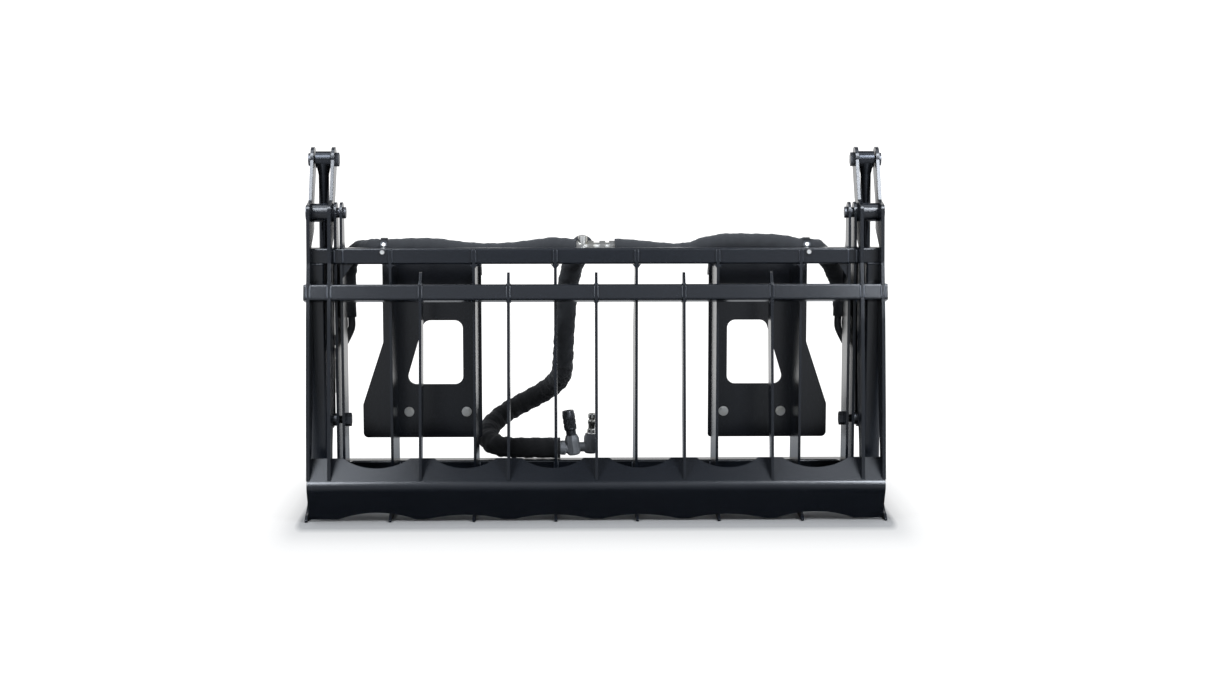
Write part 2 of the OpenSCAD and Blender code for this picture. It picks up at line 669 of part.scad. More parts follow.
// Thrust washer between the side plates and the arm, and the spacer beside the cylinder's base eye
module pin_spacers() {
    color("#3a3d44") pair() {
        difference() {
            along_x(side_x, arm_in_x - slip, pivot_y, pivot_z, boss_r);
            along_x(side_x - over, arm_in_x + over, pivot_y, pivot_z, pivot_r + fit);
        }
        difference() {
            along_x(side_x, cyl_x - eye_w / 2 - slip, base_y, base_z, pin_r + head_over);
            along_x(side_x - over, cyl_x, base_y, base_z, pin_r + fit);
        }
    }
}
// The rod pin's head and its nut, with the ends that fill the arm's two holes
module rod_pin_ends() {
    color("#2a2d34") pair() {
        union() {
            along_x(arm_out_x + slip, arm_out_x + arm_t, rod_pin_y, rod_pin_z, pin_r);
            along_x(arm_out_x + arm_t, arm_out_x + arm_t + head_t, rod_pin_y, rod_pin_z, pin_r + head_over);
        }
        union() {
            along_x(arm_in_x, arm_in_x + arm_t - slip, rod_pin_y, rod_pin_z, pin_r);
            translate([arm_in_x - nut_t, face_y + rod_pin_y, rod_pin_z]) rotate([0, 90, 0])
                cylinder(r = 1.75 * pin_r, h = nut_t, $fn = 6);
        }
    }
}

// Cylinders
module on_cylinder() {
    translate([cyl_x, face_y + base_y, base_z]) rotate([-cyl_lean, 0, 0]) children();
}
module eye(z) {
    translate([-eye_w / 2, 0, z]) rotate([0, 90, 0]) cylinder(r = eye_r, h = eye_w);
}
module eye_bore(z, r) {
    translate([-eye_w / 2 - over, 0, z]) rotate([0, 90, 0]) cylinder(r = r, h = eye_w + 2 * over);
}
module barrel() {
    foot = pin_r + head_over + 2 * slip;
    color("#17191f") on_cylinder() difference() {
        union() {
            eye(0);
            translate([0, 0, foot]) cylinder(r = barrel_r, h = barrel_len - foot);
            translate([0, 0, barrel_len - gland_in - 2 * pipe_r]) rotate([-90, 0, 0])
                cylinder(r = 2 * pipe_r, h = pipe_y - pipe_r - slip);
        }
        eye_bore(0, pin_r + fit);
        translate([0, 0, eye_r + base_plug]) cylinder(r = bore_r + fit, h = barrel_len);
    }
}
module gland() {
    color("#30343c") on_cylinder() difference() {
        union() {
            translate([0, 0, barrel_len - gland_in]) cylinder(r = bore_r, h = gland_in);
            translate([0, 0, barrel_len]) cylinder(r = barrel_r, h = gland_t);
        }
        translate([0, 0, barrel_len - gland_in - over])
            cylinder(r = rod_r + fit, h = gland_in + gland_t + 2 * over);
    }
}
// Port block behind the barrel, with two hose stubs and the pipe up to the rod end
module port_block() {
    top = barrel_len - gland_in - 2 * pipe_r;
    color("#2b2e35") on_cylinder() union() {
        difference() {
            translate([-block_w / 2, 0, block_low]) cube([block_w, block_out, block_up - block_low]);
            translate([0, 0, block_low - over]) cylinder(r = barrel_r + fit, h = block_up);
        }
        for (s = [-1, 1]) translate([s * stub_gap / 2, stub_y, block_up - over])
            cylinder(r = 0.86 * hose_r, h = stub_t + over);
        translate([0, pipe_y, block_up - over]) cylinder(r = pipe_r, h = top - block_up + over);
        translate([-elbow / 2, pipe_y - pipe_r, top - elbow / 2]) cube([elbow, elbow, elbow]);
    }
}
module rod() {
    color("#d8dade") on_cylinder() difference() {
        union() {
            translate([0, 0, rod_low]) cylinder(r = rod_r, h = cyl_len - eye_r / 2 - rod_low);
            translate([0, 0, cyl_len - eye_r / 2 - rod_neck])
                cylinder(r1 = rod_r, r2 = 0.9 * eye_r, h = rod_neck);
            eye(cyl_len);
        }
        eye_bore(cyl_len, pin_r + fit);
    }
}
module piston() {
    color("#8d9096") on_cylinder() difference() {
        translate([0, 0, rod_low + over]) cylinder(r = bore_r - fit, h = piston_t);
        translate([0, 0, rod_low]) cylinder(r = rod_r + fit, h = piston_t + 2 * over);
    }
}
// The middle of the rod pin, which stays in the rod's eye between the two arms
module rod_pin() {
    half = arm_gap / 2 - slip;
    color("#c4c7cc") on_cylinder() translate([-half, 0, cyl_len]) rotate([0, 90, 0])
        cylinder(r = pin_r, h = 2 * half);
}

// Hoses
function run_place(q) = [q[0], face_y + sleeve_y + q[1], tee_z + q[2]];
module sleeve(route) {
    color("#101114") swept([for (q = route) run_place(q)], sleeve_r, 10);
}
// The two hoses from just under a sleeve's end down to the port block, which swing with the cylinder
module tail_hoses(route) {
    end = run_place(route[len(route) - 1]) - [0, 0, slip];
    color("#0c0d0f") for (s = [-1, 1]) swept(tail_points(end, s), hose_r, 8);
}
function tail_points(a, s) =
    let (e = on_cyl([s * stub_gap / 2, stub_y, block_up + stub_t]), up = [0, sin(cyl_lean), cos(cyl_lean)],
        d = [s * (hose_r + slip), 0, 0], drop = a[2] - e[2])
    [a + d, a + d - [0, 0, 0.2 * drop], a + d + [0.25 * (e[0] - a[0]), 0, -0.38 * drop],
        a + d + 0.6 * [e[0] - a[0], e[1] - a[1], 0] - [0, 0, 0.56 * drop],
        e + 0.26 * drop * up, e + 0.12 * drop * up, e];
// Clamps round the sleeves, each with a bolt through the top tube
module hose_clamps() {
    z = tee_z - 2;
    color("#9a9da3") pair() {
        difference() {
            union() {
                along_x(clamp_x - clamp_w / 2, clamp_x + clamp_w / 2, sleeve_y, z, sleeve_r + slip + clamp_t);
                translate([clamp_x - clamp_w / 2, face_y + tube, clamp_bolt_z - clamp_w / 2])
                    cube([clamp_w, sleeve_r, clamp_w]);
            }
            along_x(clamp_x - clamp_w, clamp_x + clamp_w, sleeve_y, z, sleeve_r + slip);
            translate([clamp_x - clamp_w, face_y, z - tube]) cube([2 * clamp_w, tube, 2 * tube]);
        }
        translate([clamp_x, face_y, clamp_bolt_z]) rotate([-90, 0, 0]) union() {
            cylinder(r = clamp_bolt_r, h = tube);
            translate([0, 0, -clamp_bolt_r]) cylinder(r = 1.8 * clamp_bolt_r, h = clamp_bolt_r, $fn = 6);
        }
    }
}
// The tee between the two sleeves, its branch to the rear for the free hose
module tee_fittings() {
    nut_w = 1.3 * tee_r;
    color("#b9b8b2") union() {
        along_x(-tee_half, tee_half, sleeve_y, tee_z, tee_r);
        for (x = [-tee_half, tee_x + 1.1 * tee_r, tee_half - 2.6 * nut_w, tee_half - nut_w])
            translate([x, face_y + sleeve_y, tee_z]) rotate([0, 90, 0])
                cylinder(r = 1.35 * tee_r, h = nut_w, $fn = 6);
        translate([tee_x, face_y + sleeve_y, tee_z]) rotate([-90, 0, 0])
            cylinder(r = tee_r, h = drop_points[0][1] - face_y - sleeve_y);
        translate([tee_x, face_y + sleeve_y, tee_z]) cylinder(r = tee_r, h = 2.4 * tee_r);
    }
}
module drop_hose() {
    color("#101114") swept(drop_points, drop_r, 10);
}
// The two couplers at the free end stand on elbows, each fed by a short pipe from the sleeve's end
module coupler(out, side, lean, l, r, collar) {
    end = drop_points[len(drop_points) - 1];
    y = end[1] + side;
    elbow_r = 1.35 * hose_r;
    union() {
        translate([end[0], y, end[2]]) rotate([0, 90, 0]) cylinder(r = hose_r, h = out);
        translate([end[0] + out, y, end[2]]) {
            sphere(r = elbow_r);
            rotate([0, lean, 0]) {
                cylinder(r = 0.88 * elbow_r, h = 0.45 * l);
                cylinder(r = r, h = l);
                translate([0, 0, collar[0]]) cylinder(r = collar[1], h = collar[2]);
            }
        }
    }
}
module coupler_female() {
    color("#4a4d52") coupler(female_out, -hose_r - hose_seat, female_lean, female_l, female_r,
        [female_collar_z, female_collar_r, female_collar_l]);
}
module coupler_male() {
    color("#b5b7bb") coupler(male_out, hose_r + 4 * hose_seat, male_lean, male_l, male_r,
        [male_collar_z, male_collar_r, male_collar_l]);
}

top_tube();
bottom_tube();
posts();
mirror([1, 0, 0]) side_plate_inner();  // side_plate_inner_left
mirror([1, 0, 0]) side_plate(side_x - side_t);  // side_plate_outer_left
side_plate_inner();  // side_plate_inner_right
side_plate(side_x - side_t);  // side_plate_outer_right
rake_tine(0);  // rake_tine_1
rake_tine(1);  // rake_tine_2
rake_tine(2);  // rake_tine_3
rake_tine(3);  // rake_tine_4
rake_tine(4);  // rake_tine_5
rake_tine(5);  // rake_tine_6
rake_tine(6);  // rake_tine_7
rake_tine(7);  // rake_tine_8
mirror([1, 0, 0]) coupler_plate();  // coupler_plate_left
coupler_plate();  // coupler_plate_right
mirror([1, 0, 0]) latch_angle();  // latch_angle_left
latch_angle();  // latch_angle_right
latch_bolts();
tube_caps();
mirror([1, 0, 0]) jaw_arm(arm_out_x);  // jaw_arm_outer_left
mirror([1, 0, 0]) jaw_arm(arm_in_x);  // jaw_arm_inner_left
jaw_arm(arm_in_x);  // jaw_arm_inner_right
jaw_arm(arm_out_x);  // jaw_arm_outer_right
pivot_bosses();
jaw_tube();
jaw_tube_caps();
jaw_tine(0);  // jaw_tine_1
jaw_tine(1);  // jaw_tine_2
jaw_tine(2);  // jaw_tine_3
jaw_tine(3);  // jaw_tine_4
jaw_tine(4);  // jaw_tine_5
jaw_lip();
rod_pin_ends();
pivot_pins();
base_pins();
lock_nuts();
pin_spacers();
mirror([1, 0, 0]) barrel();  // barrel_left
barrel();  // barrel_right
mirror([1, 0, 0]) gland();  // gland_left
gland();  // gland_right
mirror([1, 0, 0]) port_block();  // port_block_left
port_block();  // port_block_right
mirror([1, 0, 0]) rod();  // rod_left
rod();  // rod_right
mirror([1, 0, 0]) piston();  // piston_left
piston();  // piston_right
mirror([1, 0, 0]) rod_pin();  // rod_pin_left
rod_pin();  // rod_pin_right
hose_clamps();
tee_fittings();
mirror([1, 0, 0]) sleeve(run_left);  // sleeve_left
sleeve(run_right);  // sleeve_right
mirror([1, 0, 0]) tail_hoses(run_left);  // tail_hoses_left
tail_hoses(run_right);  // tail_hoses_right
drop_hose();
coupler_female();
coupler_male();
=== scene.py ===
import json
import math

import bpy
import numpy as np
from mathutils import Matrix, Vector


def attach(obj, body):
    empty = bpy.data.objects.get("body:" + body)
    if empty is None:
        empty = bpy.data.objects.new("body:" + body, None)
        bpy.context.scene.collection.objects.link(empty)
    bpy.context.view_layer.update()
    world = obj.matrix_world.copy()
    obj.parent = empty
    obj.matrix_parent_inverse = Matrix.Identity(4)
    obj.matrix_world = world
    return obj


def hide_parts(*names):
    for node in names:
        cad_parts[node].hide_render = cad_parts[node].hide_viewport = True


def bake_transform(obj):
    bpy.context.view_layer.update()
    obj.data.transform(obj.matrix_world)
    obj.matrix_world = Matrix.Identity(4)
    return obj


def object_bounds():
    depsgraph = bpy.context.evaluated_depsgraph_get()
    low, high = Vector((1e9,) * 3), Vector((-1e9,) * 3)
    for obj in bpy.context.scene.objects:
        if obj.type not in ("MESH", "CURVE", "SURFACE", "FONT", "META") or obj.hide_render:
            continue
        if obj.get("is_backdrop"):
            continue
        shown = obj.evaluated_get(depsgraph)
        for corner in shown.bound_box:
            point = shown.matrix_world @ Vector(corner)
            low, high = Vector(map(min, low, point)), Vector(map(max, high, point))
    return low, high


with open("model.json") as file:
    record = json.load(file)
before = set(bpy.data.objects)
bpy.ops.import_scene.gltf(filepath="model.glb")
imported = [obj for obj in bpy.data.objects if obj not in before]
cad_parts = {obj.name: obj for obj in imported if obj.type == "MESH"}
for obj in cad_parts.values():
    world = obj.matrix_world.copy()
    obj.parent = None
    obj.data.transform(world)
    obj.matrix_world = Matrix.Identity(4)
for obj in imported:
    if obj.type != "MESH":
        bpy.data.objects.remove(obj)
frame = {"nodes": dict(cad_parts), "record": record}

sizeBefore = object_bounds()
print("frame loaded")

faceY = -0.060          # the frame's front face, which the photo's measures start from
tube = 0.038            # square tube
topZ = 0.636            # upper face of the top tube


# camera, light and floor


def aimed(thing, place, target):
    # stands the camera or a lamp at its place, with its view along target - place
    bpy.context.collection.objects.link(thing)
    thing.location = place
    thing.rotation_euler = (Vector(target) - Vector(place)).to_track_quat("-Z", "Y").to_euler()


# fitted to the photo: the focal length is in its pixels, and the sensor's width in millimetres
camera = dict(place=(-0.064, -4.9235, 1.0136), target=(0.026, -0.060, 0.4164),
              focalPx=2068, widthPx=1214, sensor=36)
cameraData = bpy.data.cameras.new("camera")
cameraData.sensor_width = camera["sensor"]
cameraData.lens = camera["sensor"] * camera["focalPx"] / camera["widthPx"]
cameraObject = bpy.data.objects.new("camera", cameraData)
aimed(cameraObject, camera["place"], camera["target"])
bpy.context.scene.camera = cameraObject
bpy.context.scene.view_settings.view_transform = "Standard"


def feed(tree, socket, value):
    # a wire is linked to the socket, and anything else but None becomes the socket's own value
    if isinstance(value, Wire):
        tree.links.new(value.socket, socket)
    elif value is not None:
        socket.default_value = value


class Wire:
    # a shader socket that takes part in plain sums: each operator adds its Math node
    def __init__(self, tree, socket):
        self.tree, self.socket = tree, socket

    def math(self, operation, other=None, flipped=False, clamp=False):
        node = self.tree.nodes.new("ShaderNodeMath")
        node.operation, node.use_clamp = operation, clamp
        pair = [other, self] if flipped else [self, other]
        for socket, value in zip(node.inputs, pair):
            feed(self.tree, socket, value)
        return Wire(self.tree, node.outputs[0])

    def __add__(self, other):
        return self.math("ADD", other)

    def __radd__(self, other):
        return self.math("ADD", other)

    def __sub__(self, other):
        return self.math("SUBTRACT", other)

    def __rsub__(self, other):
        return self.math("SUBTRACT", other, True)

    def __mul__(self, other):
        return self.math("MULTIPLY", other)

    def __rmul__(self, other):
        return self.math("MULTIPLY", other)

    def __pow__(self, other):
        return self.math("POWER", other)

    def clamped(self):
        return self.math("MULTIPLY", 1.0, clamp=True)


class Bench:
    # one node tree, a material's or the world's, and the few ways in which nodes are added to it
    def __init__(self, holder):
        holder.use_nodes = True
        self.holder, self.tree = holder, holder.node_tree

    def node(self, kind, settings=None, out=0, **sockets):
        # settings come first; a socket is named by its own name, or by i and its number
        made = self.tree.nodes.new("ShaderNode" + kind)
        for key, value in (settings or {}).items():
            if key == "stops":
                while len(made.color_ramp.elements) < len(value):
                    made.color_ramp.elements.new(0.5)
                for element, (place, colour) in zip(made.color_ramp.elements, value):
                    element.position, element.color = place, colour
            else:
                setattr(made, key, value)
        for key, value in sockets.items():
            numbered = key[0] == "i" and key[1:].isdigit()
            feed(self.tree, made.inputs[int(key[1:]) if numbered else key], value)
        return Wire(self.tree, made.outputs[out])

    def place(self, kind="Object"):
        return self.node("TexCoord", None, kind)

    def axes(self, vector):
        # the three numbers of a vector, each as a wire
        split = self.node("SeparateXYZ", i0=vector).socket.node
        return [Wire(self.tree, socket) for socket in split.outputs]

    def noise(self, scale, detail=3.0, rough=0.5):
        return self.node("TexNoise", Vector=self.place(), Scale=scale, Detail=detail, Roughness=rough)

    def mix(self, factor, a, b):
        # colour = a where the factor is 0 and b where it is 1
        return self.node("Mix", {"data_type": "RGBA"}, 2, i0=factor, i6=a, i7=b)

    def ramp(self, wire, low, high):
        # 0 at low, 1 at high and straight between them, clamped outside
        return self.node("MapRange", {"clamp": True}, Value=wire, i1=low, i2=high)

    def bump(self, height, distance, strength, **sockets):
        return self.node("Bump", Height=height, Distance=distance, Strength=strength, **sockets)

    def put(self, **sockets):
        # sets or links the Principled shader's sockets, with _ for a blank in their names
        for key, value in sockets.items():
            feed(self.tree, self.tree.nodes["Principled BSDF"].inputs[key.replace("_", " ")], value)
        return self.holder

    def show(self, shader):
        # what the tree's output shows
        output = next(node for node in self.tree.nodes if node.type.startswith("OUTPUT"))
        self.tree.links.new(shader.socket, output.inputs[0])


def grey(level):
    # an opaque colour with all three parts alike
    return (level, level, level, 1)


def apart(*offsets):
    # distance = square root of the sum of the squared offsets
    total = offsets[0] * offsets[0]
    for offset in offsets[1:]:
        total = total + offset * offset
    return total ** 0.5


studio = dict(
    tint=(0.90, 0.96, 1.06, 1), behind=1.0, front=0.42, frontHigh=0.75, overhead=0.12,
    rise=(0.02, 0.45), back=(-0.05, 0.25), zenith=(0.70, 0.90),      # spans of the direction's z, y and z
    lampColour=(0.90, 0.96, 1.05),
    # the lamps of a pair mirror each other but for their powers and drops, the left one's first
    overheadLamp=dict(place=(1.55, -0.15, 2.5), target=(0.9, -0.2, 0.2), size=(1.2, 1.8),
                      powers=(26.0, 15.0)),
    # a corner lamp stands drop metres further along down
    cornerLamp=dict(place=(1.30, -1.55, 2.50), target=(0.75, -0.2, 0.1), size=(0.8, 2.0),
                    powers=(112.0, 150.0), down=(0.322, -0.790, -0.522), drops=(0.35, 0.58)))


def makeWorld():
    # white for the camera; for the object a white back wall and a dim front that brightens upwards:
    # light = behind where y > 0, else front + (frontHigh - front) * rise, and overhead near the zenith
    world = bpy.data.worlds.new("studio")
    bpy.context.scene.world = world
    bench = Bench(world)
    bench.tree.nodes.remove(bench.tree.nodes["Background"])
    y, z = bench.axes(bench.place("Generated"))[1:]
    rise = bench.node("MapRange", Value=z, i1=studio["rise"][0], i2=studio["rise"][1],
                      i3=studio["front"], i4=studio["frontHigh"])
    wall = bench.node("Mix", i0=bench.ramp(y, *studio["back"]), i2=rise, i3=studio["behind"])
    level = bench.node("Mix", i0=bench.ramp(z, *studio["zenith"]), i2=wall, i3=studio["overhead"])
    walls = bench.node("Background", Color=studio["tint"], Strength=level)
    white = bench.node("Background", Color=grey(1))
    watched = bench.node("LightPath", None, "Is Camera Ray")
    bench.show(bench.node("MixShader", i0=watched, i1=walls, i2=white))


def areaLamp(name, place, target, size, power):
    # a rectangle of light, size[0] wide and size[1] high
    data = bpy.data.lights.new(name, "AREA")
    data.color = studio["lampColour"]
    data.shape, data.size, data.size_y, data.energy = "RECTANGLE", size[0], size[1], power
    aimed(bpy.data.objects.new(name, data), place, target)


floorLook = dict(
    front=(-12.0, -4.0, 0.0), bendStart=6.0, bendRadius=3.0, bendSteps=24, top=9.0, halfWidth=14.0,
    below=0.0005, grain=3.0, sheet=((0.80, 0.80, 0.80, 1), (0.84, 0.84, 0.84, 1)),
    # the camera's darker tone of the sheet near the foot, a painted shadow
    paintedShadowTone=(0.190, 0.185, 0.177, 1), rough=0.75, gloss=0.2,
    footX=0.676, footY=0.150, sideways=4.0, white=1.3,
    # share of plain white by distance from the foot; below 1 the darker tone shows as a painted shadow
    paintedShadowFade=[(0.0, 0.0), (0.07, 0.02), (0.12, 0.40), (0.25, 0.58), (0.40, 0.70), (0.80, 1.0)],
    # what the object's gloss sees: dark near by, dim in front, bright at the sides and white behind
    dark=0.012, darkSpan=(0.10, 0.45), dim=(0.32, 0.35, 0.39, 1), bright=(0.95, 0.99, 1.06, 1),
    brightSpan=(0.45, 1.0), behindSpan=(0.6, 2.4))


def floorMaterial():
    # near the foot the camera sees the sheet in a darker tone, a painted shadow over the real one;
    # further off it sees plain white, by distance from the outline, which counts more to the sides;
    # the object's gloss sees what floorLook says
    look = floorLook
    bench = Bench(bpy.data.materials.new("paleFloor"))
    watched = bench.node("LightPath", None, "Is Camera Ray")
    sheet = bench.mix(bench.noise(look["grain"], 2.0), *look["sheet"])
    # for the camera the sheet takes the darker tone: painted shadow near the foot
    bench.put(Base_Color=bench.mix(watched, sheet, look["paintedShadowTone"]), Roughness=look["rough"],
              Specular_IOR_Level=look["gloss"])
    x, y = bench.axes(bench.place())[:2]
    aside = (x.math("ABSOLUTE") - look["footX"]).math("MAXIMUM", 0.0) * look["sideways"]
    ahead = (y.math("ABSOLUTE") - look["footY"]).math("MAXIMUM", 0.0)
    outline = apart(aside, ahead)
    steps = [(place, grey(level)) for place, level in look["paintedShadowFade"]]
    # the white share rises in steps away from the foot, so the painted shadow fades out
    white = bench.node("ValToRGB", {"stops": steps}, Fac=outline)
    farther = bench.mix(bench.ramp(x.math("ABSOLUTE"), *look["brightSpan"]), look["dim"], look["bright"])
    near = bench.mix(bench.ramp(outline, *look["darkSpan"]), grey(look["dark"]), farther)
    mirrored = bench.node("Emission", Color=bench.mix(bench.ramp(y, *look["behindSpan"]), near, grey(1)))
    plainWhite = bench.node("Emission", Strength=look["white"])
    shader = Wire(bench.tree, bench.tree.nodes["Principled BSDF"].outputs[0])
    seen = bench.node("MixShader", i0=white * watched, i1=shader, i2=plainWhite)
    glossy = bench.node("LightPath", None, "Is Glossy Ray")
    bench.show(bench.node("MixShader", i0=glossy, i1=seen, i2=mirrored))
    return bench.holder


def makeFloor():
    # a flat sheet that sweeps up far behind: height 0 up to the bend, then a quarter circle and a wall
    look = floorLook
    radius, back = look["bendRadius"], look["bendStart"]
    turn = np.linspace(0, np.pi / 2, look["bendSteps"])[1:]
    y = np.concatenate([look["front"], [back], back + radius * np.sin(turn), [back + radius]])
    flat = np.zeros(len(look["front"]) + 1)
    z = np.concatenate([flat, radius * (1 - np.cos(turn)), [look["top"]]]) - look["below"]
    x = np.linspace(-look["halfWidth"], look["halfWidth"], 3)
    gridX, gridY = np.meshgrid(x, y)
    points = np.stack([gridX, gridY, np.repeat(z[:, None], len(x), 1)], -1).reshape(-1, 3)
    first = (np.arange(len(y) - 1)[:, None] * len(x) + np.arange(len(x) - 1)).ravel()
    faces = np.stack([first, first + 1, first + len(x) + 1, first + len(x)], 1)
    mesh = bpy.data.meshes.new("floor")
    mesh.from_pydata(points.tolist(), [], faces.tolist())
    mesh.materials.append(floorMaterial())
    made = bpy.data.objects.new("floor", mesh)
    bpy.context.collection.objects.link(made)
    made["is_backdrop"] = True


makeWorld()
makeFloor()
for i, side in enumerate((-1, 1)):
    mirror = np.array([side, 1, 1])
    box, corner = studio["overheadLamp"], studio["cornerLamp"]
    areaLamp("overheadBox", mirror * box["place"], mirror * box["target"], box["size"], box["powers"][i])
    stand = np.array(corner["place"]) + corner["drops"][i] * np.array(corner["down"])
    areaLamp("cornerBox", mirror * stand, mirror * corner["target"], corner["size"], corner["powers"][i])
print("camera, light and floor ready")


# materials, with the scales of their noises per metre and their bumps in metres

powder = dict(peel=620.0, wave=95.0, drift=3.2, haze=6.0, peelShare=0.35, bump=0.00022, bumpStrength=0.30,
              deeper=1.5, driftTone=0.35, paler=1.6, lift=0.001, hazeTone=0.3, driftGloss=0.05,
              hazeGloss=0.04, brokenEdge=0.0016)


def powderCoat(name, base, gloss):
    # baked powder: fine orange peel under the gloss, a slight drift of tone and haze, and rounded edges for
    # the light, because the cut plates' arrises are broken by about a millimetre
    bench = Bench(bpy.data.materials.new(name))
    peel, wave = bench.noise(powder["peel"], 2.0), bench.noise(powder["wave"], 2.0)
    drift, haze = bench.noise(powder["drift"], 4.0, 0.6), bench.noise(powder["haze"], 2.0)
    deep = tuple(c * powder["deeper"] for c in base) + (1,)
    pale = tuple(c * powder["paler"] + powder["lift"] for c in base) + (1,)
    tone = bench.mix(drift * powder["driftTone"], base + (1,), deep)
    bench.put(Base_Color=bench.mix(haze * powder["hazeTone"], tone, pale), IOR=1.5,
              Roughness=gloss + drift * powder["driftGloss"] + haze * powder["hazeGloss"])
    edge = bench.node("Bevel", {"samples": 4}, Radius=powder["brokenEdge"])
    height = peel * powder["peelShare"] + wave * (1 - powder["peelShare"])
    return bench.put(Normal=bench.bump(height, powder["bump"], powder["bumpStrength"], Normal=edge))


steel = dict(drift=34.0, grain=900.0, bump=0.00005, bumpStrength=0.5, driftSpan=(0.35, 0.68), deeper=0.72,
             driftRough=0.12)


def steelGrain(bench):
    # a very fine even roughness of the surface
    return bench.bump(bench.noise(steel["grain"], 2.0), steel["bump"], steel["bumpStrength"])


def machinedSteel(name, base, rough, metal=1.0, tint=None):
    # turned or plated steel: fine grain and a drift of tint, as zinc plating has
    bench = Bench(bpy.data.materials.new(name))
    drift = bench.noise(steel["drift"])
    other = tint or tuple(c * steel["deeper"] for c in base)
    colour = bench.mix(bench.ramp(drift, *steel["driftSpan"]), base + (1,), other + (1,))
    return bench.put(Base_Color=colour, Metallic=metal, Roughness=rough + drift * steel["driftRough"],
                     Normal=steelGrain(bench))


clamp = dict(x=0.503, upperZ=0.642, lowerZ=0.627, upperBolt=(0.0044, 0.0034), lowerBolt=(0.0056, 0.0046),
             faceBlur=0.0003, drift=60.0, band=((0.020, 0.021, 0.023, 1), (0.040, 0.042, 0.045, 1)),
             bright=(0.62, 0.61, 0.58, 1), metal=0.9, rough=0.30, driftRough=0.10)


def clampBand(name):
    # dark plated band, bright within a bolt head's radius of its upper bolt and of the one before the tube
    bench = Bench(bpy.data.materials.new(name))
    x, y, z = bench.axes(bench.place())
    aside = x.math("ABSOLUTE") - clamp["x"]
    upper = bench.ramp(apart(aside, z - clamp["upperZ"]), *clamp["upperBolt"])
    lower = bench.ramp(apart(aside, z - clamp["lowerZ"]), *clamp["lowerBolt"])
    before = bench.ramp(y, faceY + clamp["faceBlur"], faceY - clamp["faceBlur"])
    drift = bench.noise(clamp["drift"])
    band = bench.mix(drift, *clamp["band"])
    colour = bench.mix((upper + before * lower).clamped(), band, clamp["bright"])
    return bench.put(Base_Color=colour, Metallic=clamp["metal"], Normal=steelGrain(bench),
                     Roughness=clamp["rough"] + drift * clamp["driftRough"])


weave = dict(pitch=2.4, blur=0.15, fuzz=260.0, fade=9.0, bump=0.0006, bumpStrength=0.8,
             # the yarn's dark and light tones; the weave's height picks between them as painted shade in the
             # dips
             yarn=((0.0030, 0.0033, 0.0038, 1), (0.0118, 0.0126, 0.0142, 1)),
             # near black below the span's heights: painted shade on the low strand
             lowPaintedShade=(0.0026, 0.0027, 0.0030, 1), lowPaintedShadeSpan=(0.24, 0.34),
             # the weave's share of the tone is painted shade in the dips of the weave
             toneShares=(0.55, 0.3, 0.3), bumpShares=(0.7, 0.5),      # of the weave, the fuzz and the fading
             rough=0.78, roughDrift=0.15, gloss=0.35, sheen=0.07, sheenRough=0.5)


def wovenCloth(name):
    # plain weave of black yarn on the piece's own map, u along the sleeve and v round it, in millimetres:
    # height = warp where warp * weft > 0, else weft; the tone follows the height as painted shade in the
    # dips, and it is near black where it hangs low, as painted shade
    bench = Bench(bpy.data.materials.new(name))
    along, around = bench.axes(bench.node("UVMap", {"uv_map": "weave"}))[:2]
    turn = 2 * math.pi / weave["pitch"]
    warp, weft = (along * turn).math("SINE"), (around * turn).math("SINE")
    over = bench.ramp(warp * weft, -weave["blur"], weave["blur"])
    height = over * (warp * 0.5 + 0.5) + (1 - over) * (weft * 0.5 + 0.5)
    fuzz, fade = bench.noise(weave["fuzz"], 4.0, 0.7), bench.noise(weave["fade"])
    byWeaveShade, byFuzz, byFade = weave["toneShares"]
    # tone: painted shade where the weave dips, with real fuzz and fading
    toneWithPaintedShade = bench.mix((height * byWeaveShade + fuzz * byFuzz + fade * byFade).clamped(), *weave["yarn"])
    z = bench.axes(bench.place())[2]
    # painted shade: near black where the sleeve hangs low
    toneWithPaintedShade = bench.mix(bench.ramp(z, *weave["lowPaintedShadeSpan"]), weave["lowPaintedShade"], toneWithPaintedShade)
    bench.put(Base_Color=toneWithPaintedShade, Roughness=weave["rough"] + fuzz * weave["roughDrift"],
              Specular_IOR_Level=weave["gloss"])
    bench.put(Sheen_Weight=weave["sheen"], Sheen_Roughness=weave["sheenRough"])
    raised = height * weave["bumpShares"][0] + fuzz * weave["bumpShares"][1]
    return bench.put(Normal=bench.bump(raised, weave["bump"], weave["bumpStrength"]))


def grainy(name, scale, detail, dark, light, rough, roughDrift, bump, bumpStrength=0.5):
    # one noise for all: colour from dark to light, roughness = rough + roughDrift * noise, height = noise
    bench = Bench(bpy.data.materials.new(name))
    grain = bench.noise(scale, detail)
    bench.put(Base_Color=bench.mix(grain, dark, light), Roughness=rough + grain * roughDrift)
    return bench.put(Normal=bench.bump(grain, bump, bumpStrength))


blackRubber = dict(scale=300.0, detail=3.0, dark=(0.008, 0.008, 0.009, 1), light=(0.018, 0.018, 0.019, 1),
                   rough=0.55, roughDrift=0.12, bump=0.0002)
# a bead under the same coat: rounder gloss, and a lighter tone than the coat as painted light
beadLitCoat = dict(scale=420.0, detail=2.0, dark=(0.009, 0.011, 0.015, 1), light=(0.020, 0.022, 0.027, 1),
                  rough=0.33, roughDrift=0.1, bump=0.0003)

